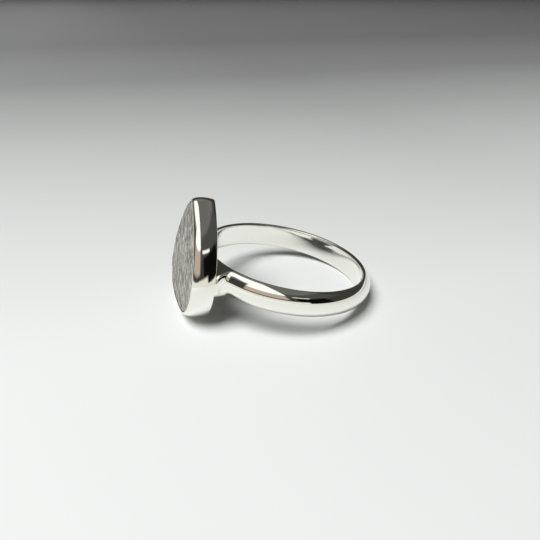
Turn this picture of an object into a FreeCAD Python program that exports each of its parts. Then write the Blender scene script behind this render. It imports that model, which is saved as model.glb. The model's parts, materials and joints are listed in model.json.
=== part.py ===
import FreeCAD, Part
import math
import os

import Sketcher
from FreeCAD import Placement, Rotation, Vector

# A dress signet ring in polished silver: a D-section shank swept up into a shield-shaped cup, and a
# flat slab of etched meteorite bedded flush in the cup.  Millimetres.  The finger axis is drawn
# along Z with the head towards -X and the origin at the middle of the finger bore.  Every piece is
# then leaned about Y by one angle, so that the ring lies as it does on a table, on the heel of its
# head and the far side of its shank, with +Z up.

doc = FreeCAD.newDocument("signet_ring")

# ------------------------------------------------------------------ driving dimensions
SIZES = {
    "finger_bore": 17.0,       # inner diameter of the shank
    "band_flat": 2.2,          # width of the flat that touches the finger
    "band_edge": 0.28,         # bevel of the shank's two inner edges
    "band_thick": 1.2,         # from the finger flat to the crown of the dome
    "seat_rise": 0.5,          # metal left between the bore and the seat of the head
    "shoulder_sweep": 0.9,     # radius of the concave sweep from the shank into the head
    "head_width": 11.7,        # across the belly of the shield
    "tip_height": 6.78,        # point of the shield above the middle of the shank
    "heel_depth": 5.3,         # bottom of the shield below the middle of the shank
    "heel_radius": 13.0,       # bottom curve of the shield
    "belly_radius": 4.0,       # lower corners of the shield
    "flank_radius": 12.3,      # long sides of the shield
    "tip_radius": 1.05,        # softened point at the top of the shield
    "plate_thick": 0.8,        # floor of the cup
    "wall_height": 1.45,       # wall of the cup above its floor
    "wall_thick": 0.45,        # wall of the cup
    "back_round": 0.3,         # rounded edge behind the head
    "rim_round": 0.18,         # outer edge of the rim
    "rim_bevel": 0.08,         # inner edge of the rim
    "pocket_tip": 0.2,         # point of the cup's inside, as a round burr leaves it
    "bed_thick": 0.15,         # adhesive under the slab
    "slab_thick": 1.25,        # the meteorite slab
    "slab_gap": 0.05,          # gap between the slab and the wall
    "slab_bevel": 0.05,        # broken edge of the slab's face
}

sheet = doc.addObject("Spreadsheet::Sheet", "sizes")
for row, (alias, number) in enumerate(SIZES.items(), start=1):
    sheet.set(f"A{row}", alias)
    sheet.set(f"B{row}", str(number))
    sheet.setAlias(f"B{row}", alias)
doc.recompute()

# layers of the head, as distances from the finger axis towards -X
SEAT = "sizes.finger_bore / 2 + sizes.seat_rise"
CUP_FLOOR = f"{SEAT} + sizes.plate_thick"
BED_TOP = f"{CUP_FLOOR} + sizes.bed_thick"
HEAD_DEPTH = "sizes.plate_thick + sizes.wall_height"

SAME_PLACE = 1e-4  # shapes closer than this touch

# the shank's dome runs between the outer corners of its two bevels, this high and this far apart
DOME_RISE = "sizes.band_thick - sizes.band_edge"
DOME_HALF = "sizes.band_flat / 2 + sizes.band_edge"
DOME_RADIUS = f"(pow({DOME_RISE}; 2) + pow({DOME_HALF}; 2)) / (2 * ({DOME_RISE}))"


# ------------------------------------------------------------------ helpers
def value(text):
    """The present value of a formula in the sheet's sizes."""
    return float(sheet.evalExpression(text))


def new_body(name):
    body = doc.addObject("PartDesign::Body", name)
    body.Label = name
    return body


def new_sketch(body, name, plane_role, reach=None):
    """A sketch on one of the body's own planes, or `reach` from it towards the plane's back."""
    sketch = body.newObject("Sketcher::SketchObject", name)
    plane = next(p for p in body.Origin.OriginFeatures if p.Role == plane_role)
    sketch.AttachmentSupport = [(plane, "")]
    sketch.MapMode = "FlatFace"
    if reach:
        sketch.setExpression(".AttachmentOffset.Base.z", f"-({reach})")
    return sketch


def hold(sketch, name, text, kind, *places):
    """A named constraint of the sketch that follows a formula."""
    index = sketch.addConstraint(Sketcher.Constraint(kind, *places, value(text)))
    sketch.renameConstraint(index, name)
    sketch.setExpression(f"Constraints.{name}", text)


def arc(centre, radius, start, end):
    """An arc of a sketch, counter-clockwise from one angle to the other."""
    circle = Part.Circle(Vector(centre[0], centre[1], 0), Vector(0, 0, 1), radius)
    return Part.ArcOfCircle(circle, start, end)


def slope(origin, target):
    """Angle of the line from one point of a sketch to another."""
    return math.atan2(target[1] - origin[1], target[0] - origin[0])


def shield_centres():
    """Where the arcs of the head's outline are centred: heel, right belly, right flank and tip."""
    belly_r = value("sizes.belly_radius")
    reach = value("sizes.heel_radius") - belly_r
    heel = (0.0, value("sizes.heel_radius - sizes.heel_depth"))
    belly_y = value("sizes.head_width / 2") - belly_r
    belly = (belly_y, heel[1] - math.sqrt(reach ** 2 - belly_y ** 2))
    tip = (0.0, value("sizes.tip_height - sizes.tip_radius"))
    # the flank holds both the belly and the tip, so its centre lies at a known distance from each
    to_belly = value("sizes.flank_radius") - belly_r
    to_tip = value("sizes.flank_radius - sizes.tip_radius")
    across = math.dist(belly, tip)
    along = (to_belly ** 2 - to_tip ** 2 + across ** 2) / (2 * across)
    aside = math.sqrt(to_belly ** 2 - along ** 2)
    step_y = (tip[0] - belly[0]) / across
    step_z = (tip[1] - belly[1]) / across
    flank = (belly[0] + step_y * along - step_z * aside, belly[1] + step_z * along + step_y * aside)
    return heel, belly, flank, tip


def draw_arcs(sketch, tag, centres, radii, construction):
    """Six arcs, counter-clockwise and tangent: heel, belly, flank, tip, flank and belly.

    The radii are formulas.  The middle line of the head is the sketch's vertical axis.
    """
    heel_c, belly_c, flank_c, tip_c = centres
    heel_r, belly_r, flank_r, tip_r = (value(text) for text in radii)
    low = slope(heel_c, belly_c)
    middle = slope(flank_c, belly_c)
    high = slope(flank_c, tip_c)
    half_turn = math.pi
    first = sketch.GeometryCount
    sketch.addGeometry([
        arc(heel_c, heel_r, -half_turn - low, low),
        arc(belly_c, belly_r, low, middle),
        arc(flank_c, flank_r, middle, high),
        arc(tip_c, tip_r, high, half_turn - high),
        arc((-flank_c[0], flank_c[1]), flank_r, half_turn - high, half_turn - middle),
        arc((-belly_c[0], belly_c[1]), belly_r, half_turn - middle, half_turn - low),
    ], construction)
    heel, belly, flank, tip, far_flank, far_belly = arcs = range(first, first + 6)
    for step in range(6):
        sketch.addConstraint(Sketcher.Constraint("Tangent", arcs[step], 2, arcs[(step + 1) % 6], 1))
    sketch.addConstraint(Sketcher.Constraint("Equal", belly, far_belly))
    sketch.addConstraint(Sketcher.Constraint("Equal", flank, far_flank))
    for name, text, curve in zip(("heel", "belly", "flank", "tip"), radii, (heel, belly, flank, tip)):
        hold(sketch, f"{tag}_{name}_radius", text, "Radius", curve)
    return arcs


def draw_shield(sketch, construction=False):
    """The outer outline of the head."""
    radii = [f"sizes.{name}_radius" for name in ("heel", "belly", "flank", "tip")]
    arcs = draw_arcs(sketch, "outer", shield_centres(), radii, construction)
    heel, belly, _, tip, _, far_belly = arcs
    sketch.addConstraint(Sketcher.Constraint("PointOnObject", heel, 3, -2))
    sketch.addConstraint(Sketcher.Constraint("PointOnObject", tip, 3, -2))
    hold(sketch, "heel_centre", "sizes.heel_radius - sizes.heel_depth", "DistanceY", -1, 1, heel, 3)
    hold(sketch, "tip_centre", "sizes.tip_height - sizes.tip_radius", "DistanceY", -1, 1, tip, 3)
    aside = "sizes.head_width / 2 - sizes.belly_radius"
    hold(sketch, "belly_centre", aside, "DistanceX", -1, 1, belly, 3)
    hold(sketch, "far_belly_centre", aside, "DistanceX", far_belly, 3, -1, 1)
    return arcs


def draw_inner_shield(sketch, outer, inset):
    """An outline `inset` inside the outer one, on the same centres apart from its sharper tip."""
    heel_c, belly_c, flank_c, _ = shield_centres()
    radii = [f"sizes.{name}_radius - ({inset})" for name in ("heel", "belly", "flank")]
    radii.append("sizes.pocket_tip")
    reach = value(radii[2]) - value(radii[3])
    tip_c = (0.0, flank_c[1] + math.sqrt(reach ** 2 - flank_c[0] ** 2))
    centres = (heel_c, belly_c, flank_c, tip_c)
    inner = draw_arcs(sketch, "inner", centres, radii, False)
    heel, belly, flank, tip, far_flank, far_belly = range(6)
    sketch.addConstraint(Sketcher.Constraint("Coincident", inner[heel], 3, outer[heel], 3))
    for which in (belly, flank, far_flank, far_belly):
        sketch.addConstraint(Sketcher.Constraint("Vertical", inner[which], 3, outer[which], 3))


def pad(body, sketch, length, name):
    """Raise a sketch of the head away from the finger."""
    feature = body.newObject("PartDesign::Pad", name)
    feature.Profile = sketch
    feature.Reversed = True
    feature.setExpression("Length", length)
    sketch.Visibility = False
    doc.recompute()
    return feature


def edge_names(feature, wanted):
    """Names of a feature's edges that are also in the list of wanted edges."""
    return [
        f"Edge{index}" for index, edge in enumerate(feature.Shape.Edges, start=1)
        if any(edge.isSame(other) for other in wanted)
    ]


def face_at(feature, reach):
    """The feature's flat face, square to X, that lies `reach` from the finger axis."""
    place = -value(reach)
    for face in feature.Shape.Faces:
        box = face.BoundBox
        if abs(box.XMin - place) < SAME_PLACE and abs(box.XMax - place) < SAME_PLACE:
            return face
    raise ValueError(f"{feature.Label} has no face at {place}")


def dress(body, feature, kind, edges, size, name):
    """Round or bevel some of a feature's edges."""
    names = edge_names(feature, edges)
    dressed = body.newObject(f"PartDesign::{kind}", name)
    dressed.Base = (feature, names)
    dressed.setExpression("Radius" if kind == "Fillet" else "Size", size)
    feature.Visibility = False
    doc.recompute()
    return dressed


# ------------------------------------------------------------------ pieces
def draw_band_section(sketch):
    """The D of the shank: a flat on the finger, two bevels and a dome."""
    bore_r = value("sizes.finger_bore / 2")
    half_flat = value("sizes.band_flat / 2")
    corner_r = bore_r + value("sizes.band_edge")
    half_dome = value(DOME_HALF)
    dome_r = value(DOME_RADIUS)
    dome_c = (bore_r + value("sizes.band_thick") - dome_r, 0.0)
    turn = slope(dome_c, (corner_r, half_dome))
    sketch.addGeometry([
        Part.LineSegment(Vector(bore_r, half_flat, 0), Vector(bore_r, -half_flat, 0)),
        Part.LineSegment(Vector(bore_r, -half_flat, 0), Vector(corner_r, -half_dome, 0)),
        arc(dome_c, dome_r, -turn, turn),
        Part.LineSegment(Vector(corner_r, half_dome, 0), Vector(bore_r, half_flat, 0)),
    ], False)
    flat, lower, dome, upper = range(4)
    sketch.addConstraint([
        Sketcher.Constraint("Coincident", flat, 2, lower, 1),
        Sketcher.Constraint("Coincident", lower, 2, dome, 1),
        Sketcher.Constraint("Coincident", dome, 2, upper, 1),
        Sketcher.Constraint("Coincident", upper, 2, flat, 1),
        Sketcher.Constraint("Symmetric", flat, 1, flat, 2, -1),
        Sketcher.Constraint("Symmetric", dome, 1, dome, 2, -1),
    ])
    hold(sketch, "bore_radius", "sizes.finger_bore / 2", "DistanceX", -1, 1, flat, 1)
    hold(sketch, "flat_width", "sizes.band_flat", "DistanceY", flat, 2, flat, 1)
    hold(sketch, "bevel_depth", "sizes.band_edge", "DistanceX", flat, 1, dome, 2)
    hold(sketch, "dome_half", DOME_HALF, "DistanceY", -1, 1, dome, 2)
    hold(sketch, "dome_radius", DOME_RADIUS, "Radius", dome)


def make_head_form(name):
    """The outside of the whole head, which the shank's seat is cut to."""
    body = new_body(name)
    sketch = new_sketch(body, f"{name}_outline", "YZ_Plane", SEAT)
    draw_shield(sketch)
    block = pad(body, sketch, HEAD_DEPTH, f"{name}_block")
    dress(body, block, "Fillet", face_at(block, SEAT).Edges, "sizes.back_round", f"{name}_back")
    return body


def make_shank(head_form):
    """The band, with shoulders that sweep up into the head, cut to the seat of the head."""
    body = new_body("shank_with_shoulders")
    section = new_sketch(body, "band_section", "XZ_Plane")
    draw_band_section(section)
    band = body.newObject("PartDesign::Revolution", "band")
    band.Profile = section
    band.ReferenceAxis = (section, ["V_Axis"])
    band.Angle = 360
    section.Visibility = False
    doc.recompute()
    band_shape = band.Shape.copy()

    outline = new_sketch(body, "head_outline", "YZ_Plane", SEAT)
    draw_shield(outline)
    head = pad(body, outline, HEAD_DEPTH, "head_block")
    seat_edges = face_at(head, SEAT).OuterWire.Edges
    rounded = dress(body, head, "Fillet", seat_edges, "sizes.back_round", "head_back")

    # the joint is the loop in which the band's skin enters the back of the head
    joint = []
    for edge in rounded.Shape.Edges:
        middle = Part.Vertex(edge.valueAt((edge.FirstParameter + edge.LastParameter) / 2))
        on_band = middle.distToShape(band_shape.Shells[0])[0] < SAME_PLACE
        on_seat = middle.distToShape(face_at(rounded, SEAT))[0] < SAME_PLACE
        if on_band and on_seat:
            joint.append(edge)
    dress(body, rounded, "Fillet", joint, "sizes.shoulder_sweep", "shoulders")

    shank = doc.addObject("Part::Cut", "shank")
    shank.Label = "shank"
    shank.Base = body
    shank.Tool = head_form
    return shank


def make_base_plate():
    """The floor of the cup, rounded behind."""
    body = new_body("base_plate")
    sketch = new_sketch(body, "plate_outline", "YZ_Plane", SEAT)
    draw_shield(sketch)
    plate = pad(body, sketch, "sizes.plate_thick", "plate")
    dress(body, plate, "Fillet", face_at(plate, SEAT).Edges, "sizes.back_round", "plate_back")
    return body


def make_bezel_wall():
    """The wall of the cup, one strip bent to the shield and closed at its tip."""
    body = new_body("bezel_wall")
    sketch = new_sketch(body, "wall_outlines", "YZ_Plane", CUP_FLOOR)
    outer = draw_shield(sketch)
    draw_inner_shield(sketch, outer, "sizes.wall_thick")
    wall = pad(body, sketch, "sizes.wall_height", "wall")
    rim = f"{SEAT} + {HEAD_DEPTH}"
    outside = face_at(wall, rim).OuterWire.Edges
    rounded = dress(body, wall, "Fillet", outside, "sizes.rim_round", "rim_outside")
    face = face_at(rounded, rim)
    inside = [edge for wire in face.Wires if not wire.isSame(face.OuterWire) for edge in wire.Edges]
    dress(body, rounded, "Chamfer", inside, "sizes.rim_bevel", "rim_inside")
    return body


def make_adhesive_bed():
    """The film of clear adhesive between the floor of the cup and the slab."""
    body = new_body("adhesive_bed")
    sketch = new_sketch(body, "bed_outline", "YZ_Plane", CUP_FLOOR)
    outer = draw_shield(sketch, construction=True)
    draw_inner_shield(sketch, outer, "sizes.wall_thick")
    pad(body, sketch, "sizes.bed_thick", "bed")
    return body


def make_stone_slab():
    """The meteorite slab, flat and sharp-cornered, its face just inside the rim."""
    body = new_body("stone_slab")
    sketch = new_sketch(body, "slab_outline", "YZ_Plane", BED_TOP)
    outer = draw_shield(sketch, construction=True)
    draw_inner_shield(sketch, outer, "sizes.wall_thick + sizes.slab_gap")
    slab = pad(body, sketch, "sizes.slab_thick", "slab")
    face = face_at(slab, f"{BED_TOP} + sizes.slab_thick")
    dress(body, slab, "Chamfer", face.Edges, "sizes.slab_bevel", "slab_edge")
    return body


def lean_angle():
    """How far the lying ring leans about Y, in degrees.

    It touches the table with the rounded back of its heel and with the lower corner of the shank
    on the far side.  The line through that corner that is tangent to the rounding is the table.
    """
    heel_r = value("sizes.back_round")
    heel = (-value(SEAT) - heel_r, heel_r - value("sizes.heel_depth"))
    corner = (value("sizes.finger_bore / 2 + sizes.band_edge"), -value(DOME_HALF))
    return math.degrees(slope(heel, corner) + math.asin(heel_r / math.dist(heel, corner)))


head_form = make_head_form("head_form")
pieces = [
    make_shank(head_form),
    make_base_plate(),
    make_bezel_wall(),
    make_adhesive_bed(),
    make_stone_slab(),
]
doc.recompute()
lean = Placement(Vector(0, 0, 0), Rotation(Vector(0, 1, 0), lean_angle()))
for piece in pieces:
    piece.Placement = lean
doc.recompute()

# ------------------------------------------------------------------ tests and files
for item in doc.Objects:
    if "Invalid" in item.State or "Error" in item.State:
        raise RuntimeError(f"{item.Label} did not compute: {item.State}")
for piece in pieces:
    shape = piece.Shape
    if shape.isNull() or not shape.isValid() or shape.Volume <= 0:
        raise RuntimeError(f"{piece.Label} is not a valid solid")

os.makedirs("parts", exist_ok=True)
for piece in pieces:
    piece.Shape.exportStep(f"parts/{piece.Label}.step")
    print(f"{piece.Label}: {len(piece.Shape.Solids)} solid, {piece.Shape.Volume:.2f} mm3")
print(f"lean {lean_angle():.2f} degrees")
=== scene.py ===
import json
import math
from collections import Counter, namedtuple

import bpy
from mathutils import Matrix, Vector


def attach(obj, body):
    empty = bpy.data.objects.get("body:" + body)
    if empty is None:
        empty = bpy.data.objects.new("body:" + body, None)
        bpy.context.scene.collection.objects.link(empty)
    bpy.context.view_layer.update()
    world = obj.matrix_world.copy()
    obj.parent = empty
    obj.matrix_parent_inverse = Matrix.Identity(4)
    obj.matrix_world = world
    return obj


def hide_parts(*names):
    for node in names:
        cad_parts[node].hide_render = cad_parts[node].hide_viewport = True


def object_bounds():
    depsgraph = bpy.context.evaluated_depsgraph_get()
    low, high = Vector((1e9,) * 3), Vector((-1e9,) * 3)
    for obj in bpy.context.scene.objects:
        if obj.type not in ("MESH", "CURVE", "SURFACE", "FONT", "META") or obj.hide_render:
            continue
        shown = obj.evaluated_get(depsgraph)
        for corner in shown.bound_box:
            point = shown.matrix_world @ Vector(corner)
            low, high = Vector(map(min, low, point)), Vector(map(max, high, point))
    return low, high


bl_info = {
    "name": "Dress Signet Ring",
    "version": (1, 0, 0),
    "blender": (4, 5, 0),
    "location": "View3D > Sidebar > Ring",
    "description": "Builds a silver signet ring with a meteorite slab, and the table it lies on",
    "category": "Object",
}

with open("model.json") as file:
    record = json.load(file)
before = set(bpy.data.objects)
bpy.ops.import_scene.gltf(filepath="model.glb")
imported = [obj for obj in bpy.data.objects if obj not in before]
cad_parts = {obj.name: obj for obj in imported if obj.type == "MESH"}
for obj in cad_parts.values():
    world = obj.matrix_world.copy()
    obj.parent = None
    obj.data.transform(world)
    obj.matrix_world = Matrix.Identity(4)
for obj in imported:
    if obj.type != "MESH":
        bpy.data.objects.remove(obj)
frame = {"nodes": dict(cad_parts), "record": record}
CAD_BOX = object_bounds()

MM = 0.001
BORE = frame["record"]["mounts"][0]
BORE_RADIUS = BORE["dims"]["r_mm"] * MM
# the finger axis leans from +Z towards +X by this angle, as the ring lies on the table
LEAN = math.atan2(BORE["axis"][0], BORE["axis"][2])


def deselect_all():
    """Leaves object mode with nothing selected."""
    if bpy.context.object and bpy.context.object.mode != "OBJECT":
        bpy.ops.object.mode_set(mode="OBJECT")
    bpy.ops.object.select_all(action="DESELECT")


# ------------------------------------------------------------------ sizes and colours
def length(name, description, default):
    """A length that the sidebar shows in the scene's unit."""
    return bpy.props.FloatProperty(name=name, description=description, default=default,
                                   unit="LENGTH", precision=5)


def colour(name, description, default):
    """A colour without alpha."""
    return bpy.props.FloatVectorProperty(name=name, description=description, default=default,
                                         subtype="COLOR", size=3, min=0.0, max=1.0)


class ShankSizes(bpy.types.PropertyGroup):
    """The band round the finger and the neck that carries the head."""

    flat: length("Flat", "Width of the flat that touches the finger", 2.2 * MM)
    thick: length("Thickness", "From the finger flat to the crown of the dome", 1.2 * MM)
    edge: length("Edge", "Rounding of the two inner edges", 0.28 * MM)


class RingHeadSizes(bpy.types.PropertyGroup):
    """The shield-shaped cup at the front of the ring."""

    width: length("Width", "Across the belly of the shield", 11.7 * MM)
    tip_height: length("Tip height", "Point of the shield above the middle of the shank", 6.78 * MM)
    heel_depth: length("Heel depth", "Bottom of the shield below the middle of the shank", 5.3 * MM)
    heel_radius: length("Heel radius", "Bottom curve of the shield", 13.0 * MM)
    belly_radius: length("Belly radius", "Lower corners of the shield", 4.0 * MM)
    flank_radius: length("Flank radius", "Long sides of the shield", 12.3 * MM)
    tip_radius: length("Tip radius", "Softened point of the shield", 1.05 * MM)
    seat_rise: length("Seat rise", "Metal between the bore and the seat of the head", 0.5 * MM)
    depth: length("Depth", "From the seat of the head to its rim", 2.25 * MM)
    back_round: length("Back rounding", "Radius of the edge behind the head", 0.08 * MM)
    shoulder_round: length("Shoulder", "Radius between the wall and the lip of the rim", 1.25 * MM)
    lip_round: length("Lip", "Radius of the rim's outer edge", 0.08 * MM)
    rim: length("Rim", "Flat of the rim", 0.03 * MM)
    wall: length("Wall", "Thickness of the cup's wall", 0.45 * MM)
    bevel: length("Bevel", "Bevel of the rim's inner edge", 0.08 * MM)
    pocket_tip: length("Pocket tip", "Point of the cup's inside", 0.2 * MM)
    pocket_depth: length("Pocket depth", "From the rim to the floor of the cup", 1.45 * MM)


class SilverFinish(bpy.types.PropertyGroup):
    """Polished sterling silver."""

    tint: colour("Tint", "Colour of the polished metal", (0.935, 0.925, 0.87))
    haze: bpy.props.FloatProperty(name="Haze", description="Roughness that the polish leaves",
                                  default=0.035, min=0.0, max=1.0, subtype="FACTOR")


class StageSettings(bpy.types.PropertyGroup):
    """Table, light and camera."""

    azimuth: bpy.props.FloatProperty(name="Azimuth", description="Camera's place round the ring",
                                     default=math.radians(-17.57), subtype="ANGLE")
    elevation: bpy.props.FloatProperty(name="Elevation", description="Camera's height as an angle",
                                       default=math.radians(27.8), subtype="ANGLE")
    distance: length("Distance", "From the camera to the point that it looks at", 58.0 * MM)
    table: colour("Table", "Colour of the pale table", (0.853, 0.87, 0.857))


# ------------------------------------------------------------------ node helpers
def new_material(name):
    """An empty node material, its node tree and its output."""
    material = bpy.data.materials.new(name)
    material.use_nodes = True
    tree = material.node_tree
    tree.nodes.clear()
    return material, tree, tree.nodes.new("ShaderNodeOutputMaterial")


def add_node(tree, kind, inputs=None, **settings):
    """A node with its settings, and with its inputs set to values or linked to sockets."""
    node = tree.nodes.new(kind)
    for name, setting in settings.items():
        setattr(node, name, setting)
    for key, given in (inputs or {}).items():
        socket = node.inputs[key]
        if isinstance(given, bpy.types.NodeSocket):
            tree.links.new(given, socket)
        else:
            socket.default_value = given
    return node


def calculate(tree, operation, *values):
    """The output of a Math node."""
    node = add_node(tree, "ShaderNodeMath", dict(enumerate(values)), operation=operation)
    return node.outputs[0]


def new_group(name, inputs, outputs):
    """A shader node group with named sockets: its tree, inside inputs and inside outputs."""
    tree = bpy.data.node_groups.new(name, "ShaderNodeTree")
    for label, kind in inputs:
        tree.interface.new_socket(label, in_out="INPUT", socket_type=kind)
    for label in outputs:
        tree.interface.new_socket(label, in_out="OUTPUT", socket_type="NodeSocketFloat")
    given = tree.nodes.new("NodeGroupInput").outputs
    return tree, given, tree.nodes.new("NodeGroupOutput").inputs


def add_group(tree, group, inputs):
    """An instance of a node group in another tree."""
    node = tree.nodes.new("ShaderNodeGroup")
    node.node_tree = group
    for name, given in inputs.items():
        if isinstance(given, bpy.types.NodeSocket):
            tree.links.new(given, node.inputs[name])
        else:
            node.inputs[name].default_value = given
    return node


# ------------------------------------------------------------------ materials
def polish_group():
    """What the polishing wheel leaves: uneven haze and hair-fine marks."""
    tree, given, result = new_group(
        "polish",
        [("Haze", "NodeSocketFloat"), ("Marks", "NodeSocketFloat")],
        ["Roughness", "Height"],
    )
    place = add_node(tree, "ShaderNodeTexCoord").outputs["Object"]
    cloud = add_node(tree, "ShaderNodeTexNoise", {"Vector": place, "Scale": 450.0, "Detail": 3.0})
    spread = add_node(tree, "ShaderNodeMapRange", {
        "Value": cloud.outputs["Fac"], "From Min": 0.3, "From Max": 0.7,
        "To Min": 0.6, "To Max": 1.6})
    haze = calculate(tree, "MULTIPLY", spread.outputs[0], given["Haze"])
    tree.links.new(haze, result["Roughness"])
    stretched = add_node(tree, "ShaderNodeMapping", {"Vector": place, "Scale": (1.0, 1.0, 6.0)})
    hair = add_node(tree, "ShaderNodeTexNoise", {
        "Vector": stretched.outputs[0], "Scale": 2600.0, "Detail": 4.0})
    marks = calculate(tree, "MULTIPLY", hair.outputs["Fac"], given["Marks"])
    tree.links.new(marks, result["Height"])
    return tree


def silver_material(name, finish):
    """Polished sterling silver with the marks of the wheel."""
    material, tree, output = new_material(name)
    group = bpy.data.node_groups.get("polish") or polish_group()
    polish = add_group(tree, group, {"Haze": finish.haze, "Marks": 1.0})
    bump = add_node(tree, "ShaderNodeBump", {
        "Height": polish.outputs["Height"], "Strength": 0.02, "Distance": 0.01 * MM})
    shader = add_node(tree, "ShaderNodeBsdfPrincipled", {
        "Base Color": (*finish.tint, 1.0), "Metallic": 1.0,
        "Roughness": polish.outputs["Roughness"], "Normal": bump.outputs[0]})
    tree.links.new(shader.outputs[0], output.inputs["Surface"])
    return material


STREAK_SLANT = math.radians(38)    # of the slab's grain, from the upright
STREAK_STRETCH = 0.22              # width of a streak as a share of its length


def meteorite_material(name):
    """Sawn and etched iron meteorite: satin grey with slanting streaks and bright flecks."""
    material, tree, output = new_material(name)
    place = add_node(tree, "ShaderNodeTexCoord").outputs["Object"]
    upright = add_node(tree, "ShaderNodeMapping", {"Vector": place, "Rotation": (0.0, -LEAN, 0.0)})
    slanted = add_node(tree, "ShaderNodeMapping", {
        "Vector": upright.outputs[0], "Rotation": (STREAK_SLANT, 0.0, 0.0)})
    along = add_node(tree, "ShaderNodeMapping", {
        "Vector": slanted.outputs[0], "Scale": (1.0, 1.0, STREAK_STRETCH)})
    streak = add_node(tree, "ShaderNodeTexNoise", {
        "Vector": along.outputs[0], "Scale": 3600.0, "Detail": 4.0, "Roughness": 0.6,
        "Distortion": 0.5})
    tone = add_node(tree, "ShaderNodeValToRGB", {"Fac": streak.outputs["Fac"]})
    tone.color_ramp.elements[0].position = 0.4
    tone.color_ramp.elements[0].color = (0.13, 0.124, 0.103, 1.0)
    tone.color_ramp.elements[1].position = 0.6
    tone.color_ramp.elements[1].color = (0.5, 0.482, 0.42, 1.0)
    fleck = add_node(tree, "ShaderNodeTexNoise", {
        "Vector": along.outputs[0], "Scale": 5200.0, "Detail": 2.0, "Distortion": 0.8})
    bright = add_node(tree, "ShaderNodeMapRange", {
        "Value": fleck.outputs["Fac"], "From Min": 0.58, "From Max": 0.64})
    mixed = add_node(tree, "ShaderNodeMix", {
        "Factor": bright.outputs[0], "A": tone.outputs[0], "B": (0.95, 0.93, 0.86, 1.0)},
        data_type="RGBA")
    bump = add_node(tree, "ShaderNodeBump", {
        "Height": streak.outputs["Fac"], "Strength": 0.6, "Distance": 0.04 * MM})
    shader = add_node(tree, "ShaderNodeBsdfPrincipled", {
        "Base Color": mixed.outputs["Result"], "Metallic": 0.6, "Roughness": 0.5,
        "Normal": bump.outputs[0]})
    tree.links.new(shader.outputs[0], output.inputs["Surface"])
    return material


def adhesive_material(name):
    """Cured clear resin, slightly clouded."""
    material, tree, output = new_material(name)
    place = add_node(tree, "ShaderNodeTexCoord").outputs["Object"]
    cloud = add_node(tree, "ShaderNodeTexNoise", {"Vector": place, "Scale": 900.0, "Detail": 2.0})
    tone = add_node(tree, "ShaderNodeValToRGB", {"Fac": cloud.outputs["Fac"]})
    tone.color_ramp.elements[0].color = (0.58, 0.55, 0.45, 1.0)
    tone.color_ramp.elements[1].color = (0.78, 0.76, 0.68, 1.0)
    shader = add_node(tree, "ShaderNodeBsdfPrincipled", {
        "Base Color": tone.outputs[0], "Roughness": 0.35})
    tree.links.new(shader.outputs[0], output.inputs["Surface"])
    return material


# ------------------------------------------------------------------ modelling helpers
Arc = namedtuple("Arc", "centre radius start end")
# steps along the heel, a belly, a flank, the tip, and the other flank and belly
ARC_STEPS = (24, 36, 40, 24, 40, 36)


def slope(origin, target):
    """Angle of the line from one point of the head's plane to another."""
    return math.atan2(target[1] - origin[1], target[0] - origin[0])


def shield_arcs(head, inset=0.0, tip_radius=None):
    """The six tangent arcs of the head's outline in (Y, Z), `inset` inside the outer outline.

    The flank's centre lies at known distances from those of the belly and the tip.
    """
    belly_r, flank_r = head.belly_radius, head.flank_radius
    reach = head.heel_radius - belly_r
    heel = (0.0, head.heel_radius - head.heel_depth)
    belly_y = head.width / 2 - belly_r
    belly = (belly_y, heel[1] - math.sqrt(reach ** 2 - belly_y ** 2))
    tip = (0.0, head.tip_height - head.tip_radius)
    to_belly, to_tip = flank_r - belly_r, flank_r - head.tip_radius
    across = math.dist(belly, tip)
    along = (to_belly ** 2 - to_tip ** 2 + across ** 2) / (2 * across)
    aside = math.sqrt(to_belly ** 2 - along ** 2)
    step_y, step_z = (tip[0] - belly[0]) / across, (tip[1] - belly[1]) / across
    flank = (belly[0] + step_y * along - step_z * aside,
             belly[1] + step_z * along + step_y * aside)
    point_r = head.tip_radius if tip_radius is None else tip_radius
    if tip_radius is not None:
        tip = (0.0, flank[1] + math.sqrt((flank_r - inset - point_r) ** 2 - flank[0] ** 2))
    low, middle, high = slope(heel, belly), slope(flank, belly), slope(flank, tip)
    pi = math.pi
    return [
        Arc(heel, head.heel_radius - inset, -pi - low, low),
        Arc(belly, belly_r - inset, low, middle),
        Arc(flank, flank_r - inset, middle, high),
        Arc(tip, point_r, high, pi - high),
        Arc((-flank[0], flank[1]), flank_r - inset, pi - high, pi - middle),
        Arc((-belly[0], belly[1]), belly_r - inset, pi - middle, pi - low),
    ]


def on_arc(arc, angle):
    """A point of an arc of the head's plane."""
    return (arc.centre[0] + arc.radius * math.cos(angle),
            arc.centre[1] + arc.radius * math.sin(angle))


def add_vertex(place):
    """Adds one selected vertex to the mesh in edit mode."""
    bpy.ops.mesh.select_all(action="DESELECT")
    bpy.ops.mesh.primitive_plane_add(size=1 * MM, location=(0, 0, 0))
    bpy.ops.mesh.merge(type="CENTER")
    bpy.ops.transform.translate(value=place)


def add_outline(arcs, x):
    """Spins a vertex round the arcs at that X, which adds a closed loop of edges."""
    add_vertex((x, *on_arc(arcs[0], arcs[0].start)))
    for arc, steps in zip(arcs, ARC_STEPS):
        bpy.ops.mesh.spin(steps=steps, angle=arc.start - arc.end, axis=(1, 0, 0),
                          center=(x, *arc.centre))
    bpy.ops.mesh.select_all(action="SELECT")
    bpy.ops.mesh.remove_doubles(threshold=0.0005 * MM)
    bpy.ops.mesh.select_all(action="DESELECT")


def bridge_open_loops():
    """Joins the two open loops of the mesh with a strip of faces."""
    bpy.ops.mesh.select_all(action="DESELECT")
    bpy.ops.mesh.select_non_manifold()
    bpy.ops.mesh.bridge_edge_loops()


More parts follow.
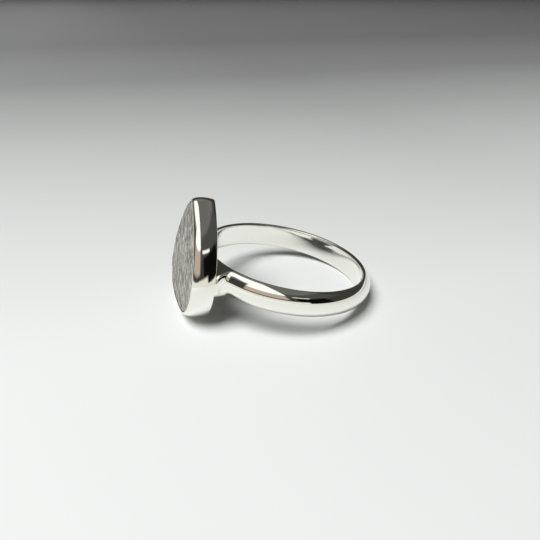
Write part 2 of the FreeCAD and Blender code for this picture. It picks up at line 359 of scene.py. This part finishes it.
def new_piece(name):
    """An empty mesh object in edit mode."""
    deselect_all()
    bpy.ops.mesh.primitive_plane_add(size=1 * MM, location=(0, 0, 0))
    piece = bpy.context.object
    piece.name = piece.data.name = name
    bpy.ops.object.mode_set(mode="EDIT")
    bpy.ops.mesh.select_all(action="SELECT")
    bpy.ops.mesh.delete(type="VERT")
    return piece


def select_faces(piece, wanted):
    """Selects the faces whose middle and normal pass a test, and stays in edit mode."""
    bpy.ops.mesh.select_all(action="DESELECT")
    bpy.ops.object.mode_set(mode="OBJECT")
    for face in piece.data.polygons:
        face.select = wanted(face.center, face.normal)
    bpy.ops.object.mode_set(mode="EDIT")


def inset_along(radius, start, end, steps):
    """Insets the selected flat face along an arc, between two leans of the wall's normal."""
    angles = [start + (end - start) * step / steps for step in range(steps + 1)]
    for before, after in zip(angles, angles[1:]):
        bpy.ops.mesh.inset(thickness=radius * (math.cos(before) - math.cos(after)),
                           depth=radius * (math.sin(after) - math.sin(before)))


def outward():
    """Turns every face of the mesh in edit mode outwards and leaves edit mode."""
    bpy.ops.mesh.select_all(action="SELECT")
    bpy.ops.mesh.normals_make_consistent(inside=False)
    bpy.ops.object.mode_set(mode="OBJECT")


def lean_over(piece):
    """Leans a piece that was drawn upright, as the ring lies."""
    deselect_all()
    piece.select_set(True)
    bpy.context.view_layer.objects.active = piece
    piece.rotation_euler = (0.0, LEAN, 0.0)
    bpy.ops.object.transform_apply(location=True, rotation=True, scale=True)


def check_closed(piece):
    """Stops the script where a piece isn't a closed skin."""
    sides = Counter(key for face in piece.data.polygons for key in face.edge_keys)
    if not sides or any(count != 2 for count in sides.values()):
        raise RuntimeError(f"{piece.name} is not closed")


def settle(piece, node_names, material):
    """Finishes a piece, which stands for its CAD nodes."""
    check_closed(piece)
    deselect_all()
    piece.select_set(True)
    bpy.context.view_layer.objects.active = piece
    piece.data.materials.clear()
    piece.data.materials.append(material)
    bpy.ops.object.shade_smooth_by_angle(angle=math.radians(35))
    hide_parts(*node_names)
    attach(piece, "root")


def apply_modifiers(piece):
    """Applies a piece's modifiers from the top."""
    for modifier in list(piece.modifiers):
        bpy.ops.object.modifier_apply(modifier=modifier.name)


def cage_growth(step):
    """How much larger than its smooth surface a round cage is, with points `step` apart."""
    return 3 / (2 + math.cos(step))


# ------------------------------------------------------------------ operators
class RING_OT_build_shank(bpy.types.Operator):
    """Build the shank: a D-section band with a flared neck that carries the head"""

    bl_idname = "ring.build_shank"
    bl_label = "Shank"

    BAND_STEPS = 64
    DOME_STEPS = 9
    EDGE_STEPS = 4
    FLAT_STEPS = 3
    REACH = math.radians(34)    # the neck's share of the band, each way from its middle
    # each ring of the neck: share of the way left to the seat, growth along Y and Z, sag
    NECK = ((0.45, 1.03, 0.98, 0.2 * MM), (0.0, 1.045, 0.86, 0.3 * MM))
    ROOT_DEPTH = 0.25 * MM      # how far the neck is sunk into the head
    ROOT_WIDTH = 0.92           # and how much it draws in there

    def execute(self, context):
        shank = context.scene.ring_shank
        piece = new_piece("shank_skin")
        self.draw_section(shank)
        bpy.ops.mesh.select_all(action="SELECT")
        bpy.ops.mesh.spin(steps=self.BAND_STEPS, angle=2 * math.pi, axis=(0, 0, 1),
                          center=(0, 0, 0))
        bpy.ops.mesh.select_all(action="SELECT")
        bpy.ops.mesh.remove_doubles(threshold=0.001 * MM)
        grow = cage_growth(2 * math.pi / self.BAND_STEPS)
        bpy.ops.transform.resize(value=(grow, grow, 1), center_override=(0, 0, 0))
        bpy.ops.mesh.normals_make_consistent(inside=False)
        self.raise_neck(piece, context.scene.ring_head, shank)
        outward()
        lean_over(piece)
        smooth = piece.modifiers.new("smooth", "SUBSURF")
        smooth.levels = smooth.render_levels = 2
        apply_modifiers(piece)
        material = silver_material("silver_shank", context.scene.ring_silver)
        settle(piece, ("shank",), material)
        return {"FINISHED"}

    def draw_section(self, shank):
        """A closed loop in the XZ plane: flat, rounded edge, dome and rounded edge."""
        half = shank.flat / 2
        edge_x = BORE_RADIUS + shank.edge
        dome_r = ((half ** 2 + shank.thick ** 2 - 2 * shank.thick * shank.edge)
                  / (2 * shank.thick - 4 * shank.edge))
        dome_x = BORE_RADIUS + shank.thick - dome_r
        turn = math.atan2(half, edge_x - dome_x)
        add_vertex((BORE_RADIUS, 0, half))
        for _ in range(self.FLAT_STEPS):
            bpy.ops.mesh.extrude_region_move(TRANSFORM_OT_translate={
                "value": (0, 0, -2 * half / self.FLAT_STEPS)})
        for steps, angle, centre in (
            (self.EDGE_STEPS, math.pi - turn, (edge_x, 0, -half)),
            (self.DOME_STEPS, 2 * turn, (dome_x, 0, 0)),
            (self.EDGE_STEPS, math.pi - turn, (edge_x, 0, half)),
        ):
            bpy.ops.mesh.spin(steps=steps, angle=angle, axis=(0, 1, 0), center=centre)
        bpy.ops.mesh.select_all(action="SELECT")
        bpy.ops.mesh.remove_doubles(threshold=0.001 * MM)

    def raise_neck(self, piece, head, shank):
        """Raises the dome next to the head into a neck that flares onto the head's back."""
        seat_x = -(BORE_RADIUS + head.seat_rise)
        dome_z = shank.flat / 2 + shank.edge
        edge_r = BORE_RADIUS + shank.edge

        def next_to_head(middle, normal):
            along = math.atan2(abs(middle.y), -middle.x)
            return along < self.REACH and abs(middle.z) < dome_z and middle.xy.length > edge_r

        select_faces(piece, next_to_head)
        for to_seat, wide, tall, sag in self.NECK:
            bpy.ops.mesh.extrude_region_move(TRANSFORM_OT_translate={"value": (0, 0, -sag)})
            bpy.ops.transform.resize(value=(to_seat, wide, tall), center_override=(seat_x, 0, 0))
        bpy.ops.mesh.extrude_region_move(TRANSFORM_OT_translate={
            "value": (-self.ROOT_DEPTH, 0, 0)})
        bpy.ops.transform.resize(value=(1, self.ROOT_WIDTH, self.ROOT_WIDTH),
                                 center_override=(seat_x, 0, 0))


class RING_OT_build_head_cup(bpy.types.Operator):
    """Build the cup of the head: floor, wall and rim in one polished piece"""

    bl_idname = "ring.build_head_cup"
    bl_label = "Head cup"

    BACK_LEAN = math.radians(12)     # the wall's normal where the back rounding starts,
    FRONT_LEAN = math.radians(10)    # where the shoulder below the lip starts
    LIP_LEAN = math.radians(40)      # and at the foot of the lip
    SLIVER = 0.002 * MM              # the straight part of the wall, where it is widest

    def execute(self, context):
        head = context.scene.ring_head
        seat_x = -(BORE_RADIUS + head.seat_rise)
        rim_x = seat_x - head.depth
        quarter = math.pi / 2
        back = head.back_round * (1 - math.sin(self.BACK_LEAN))
        shoulder = head.shoulder_round * (math.sin(self.LIP_LEAN) - math.sin(self.FRONT_LEAN))
        lip = head.lip_round * (1 - math.sin(self.LIP_LEAN))
        crown = ((head.depth - back - shoulder - lip)
                 / (math.sin(self.BACK_LEAN) + math.sin(self.FRONT_LEAN)))
        widest_x = seat_x - back - crown * math.sin(self.BACK_LEAN)
        piece = new_piece("head_cup")
        add_outline(shield_arcs(head), widest_x)
        bpy.ops.mesh.select_all(action="SELECT")
        bpy.ops.mesh.edge_face_add()
        bpy.ops.mesh.extrude_region_move(TRANSFORM_OT_translate={
            "value": (-self.SLIVER, 0, 0)})
        bpy.ops.mesh.select_all(action="SELECT")
        bpy.ops.mesh.normals_make_consistent(inside=False)
        select_faces(piece, lambda middle, normal: normal.x > 0.9)
        inset_along(crown, 0.0, self.BACK_LEAN, 6)
        inset_along(head.back_round, self.BACK_LEAN, quarter, 12)
        select_faces(piece, lambda middle, normal: normal.x < -0.9)
        inset_along(crown, 0.0, self.FRONT_LEAN, 5)
        inset_along(head.shoulder_round, self.FRONT_LEAN, self.LIP_LEAN, 8)
        inset_along(head.lip_round, self.LIP_LEAN, quarter, 6)
        bpy.ops.mesh.inset(thickness=head.rim)
        bpy.ops.mesh.delete(type="ONLY_FACE")
        pocket = shield_arcs(head, head.wall, head.pocket_tip)
        for depth in (head.bevel, head.pocket_depth):
            add_outline(pocket, rim_x + depth)
            bridge_open_loops()
        bpy.ops.mesh.select_all(action="DESELECT")
        bpy.ops.mesh.select_non_manifold()
        bpy.ops.mesh.edge_face_add()
        outward()
        lean_over(piece)
        material = silver_material("silver_head", context.scene.ring_silver)
        settle(piece, ("base_plate", "bezel_wall"), material)
        return {"FINISHED"}


class RING_OT_finish_slab(bpy.types.Operator):
    """Finish the meteorite slab and the film of resin under it"""

    bl_idname = "ring.finish_slab"
    bl_label = "Meteorite slab"

    def execute(self, context):
        for node, material in (("stone_slab", meteorite_material("meteorite")),
                               ("adhesive_bed", adhesive_material("resin"))):
            data = frame["nodes"][node].data
            data.materials.clear()
            data.materials.append(material)
        return {"FINISHED"}


Card = namedtuple("Card", "name azimuth elevation half_width half_height softness colour tilt",
                  defaults=(0.0,))

# What the polished silver mirrors, as patches round the ring, in degrees.  Azimuth 0 lies behind
# the ring, 90 on its right and 180 on the viewer's side.  Later patches lie over earlier ones.
CARDS = (
    Card("dim walls", 0, 20, 200, 32, 5.0, (0.045, 0.044, 0.04)),
    Card("right wall", 140, 44, 45, 12, 5.0, (0.07, 0.07, 0.066)),
    Card("grey ceiling", 120, 76, 60, 18, 8.0, (0.14, 0.14, 0.135)),
    Card("brown wall", -147, 35, 30, 15.5, 3.0, (0.50, 0.41, 0.34)),
    Card("dark doorway", 149, 20, 22, 14, 2.5, (0.004, 0.004, 0.004)),
    Card("pale sweep", 0, -40, 200, 45, 1.5, (0.80, 0.80, 0.72)),
    Card("pale sweep on the left", -120, 0, 80, 13, 2.0, (0.80, 0.80, 0.72)),
    Card("window", -148, 74, 32, 30, 2.0, (1.1, 1.1, 1.08)),
    Card("high window", -95, 80, 60, 21, 3.0, (1.1, 1.1, 1.08)),
    Card("lamp", 160, 38, 12, 1.7, 0.7, (1.0, 1.0, 0.93), 0.17),
)


def card_group():
    """How far a direction lies inside one patch of the room."""
    tree, given, result = new_group(
        "studio_card",
        [("Direction", "NodeSocketVector"), ("Azimuth", "NodeSocketFloat"),
         ("Elevation", "NodeSocketFloat"), ("Half Width", "NodeSocketFloat"),
         ("Half Height", "NodeSocketFloat"), ("Softness", "NodeSocketFloat"),
         ("Tilt", "NodeSocketFloat")],
        ["Mask"],
    )
    parts = add_node(tree, "ShaderNodeSeparateXYZ", {0: given["Direction"]}).outputs
    azimuth = calculate(tree, "ARCTAN2", parts["X"], parts["Y"])
    elevation = calculate(tree, "ARCSINE", parts["Z"])
    aside = calculate(tree, "SUBTRACT", calculate(tree, "DEGREES", azimuth), given["Azimuth"])
    aside = calculate(tree, "WRAP", aside, 180.0, -180.0)
    above = calculate(tree, "SUBTRACT", calculate(tree, "DEGREES", elevation), given["Elevation"])
    above = calculate(tree, "SUBTRACT", above, calculate(tree, "MULTIPLY", aside, given["Tilt"]))
    masks = []
    for off, half in ((aside, given["Half Width"]), (above, given["Half Height"])):
        edge = add_node(tree, "ShaderNodeMapRange", {
            "Value": calculate(tree, "ABSOLUTE", off),
            "From Min": calculate(tree, "SUBTRACT", half, given["Softness"]),
            "From Max": calculate(tree, "ADD", half, given["Softness"]),
            "To Min": 1.0, "To Max": 0.0}, interpolation_type="SMOOTHSTEP")
        masks.append(edge.outputs[0])
    tree.links.new(calculate(tree, "MULTIPLY", *masks), result["Mask"])
    return tree


class RING_OT_set_stage(bpy.types.Operator):
    """Lay the table and set the light and the camera"""

    bl_idname = "ring.set_stage"
    bl_label = "Stage"

    TABLE_SIZE = 6.0
    # painted shade in place of the light's falloff: share of the table's colour, by share of the
    # way along Y from the start to the end of this falloff
    FADE_START, FADE_END = -0.05, 0.95
    FADE = ((0.0, 1.0), (0.045, 0.97), (0.06, 0.89), (0.088, 0.76), (0.11, 0.66), (0.145, 0.52),
            (0.21, 0.34), (0.35, 0.26), (1.0, 0.38))
    # painted shade again: that share on the left and on the right of the ring, this far out,
    # lighter on the left and darker on the right
    SIDE, LEFT_SHARE, RIGHT_SHARE = 0.05, 1.04, 0.84
    ROOM = (0.17, 0.17, 0.165, 1.0)         # mirrored between the cards
    FILL = (0.02, 0.021, 0.022, 1.0)        # light that reaches the shadows
    BACKDROP = (0.3, 0.305, 0.3, 1.0)       # seen behind the table
    LAMP_AZIMUTH, LAMP_ELEVATION = math.radians(-112), math.radians(65)
    LAMP_DISTANCE, LAMP_SIZE, LAMP_POWER = 1.5, 1.0, 28.3
    LENS = 36.0
    LOOKED_AT = Vector((-1.95, -1.11, 0.22)) * MM

    def execute(self, context):
        stage = context.scene.ring_stage
        self.lay_table(context, stage)
        self.set_world(context)
        self.set_lamp(context)
        self.set_camera(context, stage)
        context.scene.view_settings.view_transform = "Standard"
        return {"FINISHED"}

    def lay_table(self, context, stage):
        """A pale matt table under the ring, with painted shade in its colour that darkens it away
        from the light.
        """
        deselect_all()
        bpy.ops.mesh.primitive_grid_add(x_subdivisions=8, y_subdivisions=8, size=self.TABLE_SIZE,
                                        location=(0, 0, CAD_BOX[0].z))
        table = context.object
        table.name = table.data.name = "table"
        material, tree, output = new_material("pale_table")
        place = add_node(tree, "ShaderNodeTexCoord").outputs["Object"]
        parts = add_node(tree, "ShaderNodeSeparateXYZ", {0: place}).outputs
        depth = add_node(tree, "ShaderNodeMapRange", {
            "Value": parts["Y"], "From Min": self.FADE_START, "From Max": self.FADE_END})
        painted_falloff = add_node(tree, "ShaderNodeValToRGB", {"Fac": depth.outputs[0]})
        stops = painted_falloff.color_ramp.elements
        stops.remove(stops[1])
        for position, share in self.FADE:
            stop = stops[0] if position == 0.0 else stops.new(position)
            stop.color = (share, share, share, 1.0)
        side = add_node(tree, "ShaderNodeMapRange", {
            "Value": parts["X"], "From Min": -self.SIDE, "From Max": self.SIDE,
            "To Min": self.LEFT_SHARE, "To Max": self.RIGHT_SHARE})
        # painted shade: the table's colour darkens along Y and towards the right, where the light
        # falls off
        light = calculate(tree, "MULTIPLY", painted_falloff.outputs[0], side.outputs[0])
        tone = add_node(tree, "ShaderNodeMix", {
            "Factor": light, "A": (0.0, 0.0, 0.0, 1.0), "B": (*stage.table, 1.0)},
            data_type="RGBA")
        shader = add_node(tree, "ShaderNodeBsdfPrincipled", {
            "Base Color": tone.outputs["Result"], "Roughness": 0.9, "Specular IOR Level": 0.1})
        tree.links.new(shader.outputs[0], output.inputs["Surface"])
        table.data.materials.append(material)

    def set_world(self, context):
        """The room: cards for what mirrors, a weak fill for the rest and a plain backdrop."""
        world = bpy.data.worlds.new("room")
        world.use_nodes = True
        context.scene.world = world
        tree = world.node_tree
        tree.nodes.clear()
        direction = add_node(tree, "ShaderNodeTexCoord").outputs["Generated"]
        group = card_group()
        seen = self.ROOM
        for card in CARDS:
            mask = add_group(tree, group, {
                "Direction": direction, "Azimuth": float(card.azimuth),
                "Elevation": float(card.elevation), "Half Width": float(card.half_width),
                "Half Height": float(card.half_height), "Softness": card.softness,
                "Tilt": card.tilt})
            mask.label = card.name
            seen = add_node(tree, "ShaderNodeMix", {
                "Factor": mask.outputs[0], "A": seen, "B": (*card.colour, 1.0)},
                data_type="RGBA").outputs["Result"]
        mirrored, fill, backdrop = (
            add_node(tree, "ShaderNodeBackground", {"Color": tone, "Strength": 1.0})
            for tone in (seen, self.FILL, self.BACKDROP))
        path = add_node(tree, "ShaderNodeLightPath")
        either = add_node(tree, "ShaderNodeMixShader", {
            0: path.outputs["Is Glossy Ray"], 1: fill.outputs[0], 2: mirrored.outputs[0]})
        shown = add_node(tree, "ShaderNodeMixShader", {
            0: path.outputs["Is Camera Ray"], 1: either.outputs[0], 2: backdrop.outputs[0]})
        output = add_node(tree, "ShaderNodeOutputWorld")
        tree.links.new(shown.outputs[0], output.inputs["Surface"])

    def set_lamp(self, context):
        """A round soft window, which the metal mirrors as cards instead."""
        azimuth, elevation = self.LAMP_AZIMUTH, self.LAMP_ELEVATION
        towards = Vector((math.sin(azimuth) * math.cos(elevation),
                          math.cos(azimuth) * math.cos(elevation), math.sin(elevation)))
        deselect_all()
        bpy.ops.object.light_add(type="AREA", location=towards * self.LAMP_DISTANCE)
        lamp = context.object
        lamp.name = "soft_window"
        lamp.rotation_euler = (-towards).to_track_quat("-Z", "Y").to_euler()
        lamp.data.shape = "DISK"
        lamp.data.size = self.LAMP_SIZE
        lamp.data.energy = self.LAMP_POWER
        lamp.visible_glossy = False

    def set_camera(self, context, stage):
        """The camera, at its angle and distance from the point that it looks at."""
        azimuth, elevation = stage.azimuth, stage.elevation
        back = Vector((math.sin(azimuth) * math.cos(elevation),
                       -math.cos(azimuth) * math.cos(elevation), math.sin(elevation)))
        deselect_all()
        bpy.ops.object.camera_add(location=self.LOOKED_AT + back * stage.distance)
        camera = context.object
        camera.name = "camera"
        camera.rotation_euler = back.to_track_quat("Z", "Y").to_euler()
        camera.data.lens = self.LENS
        camera.data.clip_start = 1 * MM
        context.scene.camera = camera


class RING_PT_sidebar(bpy.types.Panel):
    """The ring's pieces and sizes"""

    bl_idname = "RING_PT_sidebar"
    bl_label = "Signet Ring"
    bl_space_type = "VIEW_3D"
    bl_region_type = "UI"
    bl_category = "Ring"

    def draw(self, context):
        for settings in (getattr(context.scene, name) for name in SETTINGS):
            box = self.layout.box()
            for name in settings.bl_rna.properties.keys():
                if name not in {"rna_type", "name"}:
                    box.prop(settings, name)
        for operator in OPERATORS:
            self.layout.operator(operator.bl_idname)


SETTINGS = {"ring_shank": ShankSizes, "ring_head": RingHeadSizes,
            "ring_silver": SilverFinish, "ring_stage": StageSettings}
OPERATORS = (RING_OT_build_shank, RING_OT_build_head_cup, RING_OT_finish_slab, RING_OT_set_stage)
CLASSES = (*SETTINGS.values(), *OPERATORS, RING_PT_sidebar)


def register():
    for cls in CLASSES:
        bpy.utils.register_class(cls)
    for name, settings in SETTINGS.items():
        setattr(bpy.types.Scene, name, bpy.props.PointerProperty(type=settings))


def unregister():
    for name in SETTINGS:
        delattr(bpy.types.Scene, name)
    for cls in reversed(CLASSES):
        bpy.utils.unregister_class(cls)


def main():
    """Builds the ring and its stage."""
    register()
    bpy.ops.ring.build_shank()
    bpy.ops.ring.build_head_cup()
    bpy.ops.ring.finish_slab()
    bpy.ops.ring.set_stage()


if __name__ == "__main__":
    main()
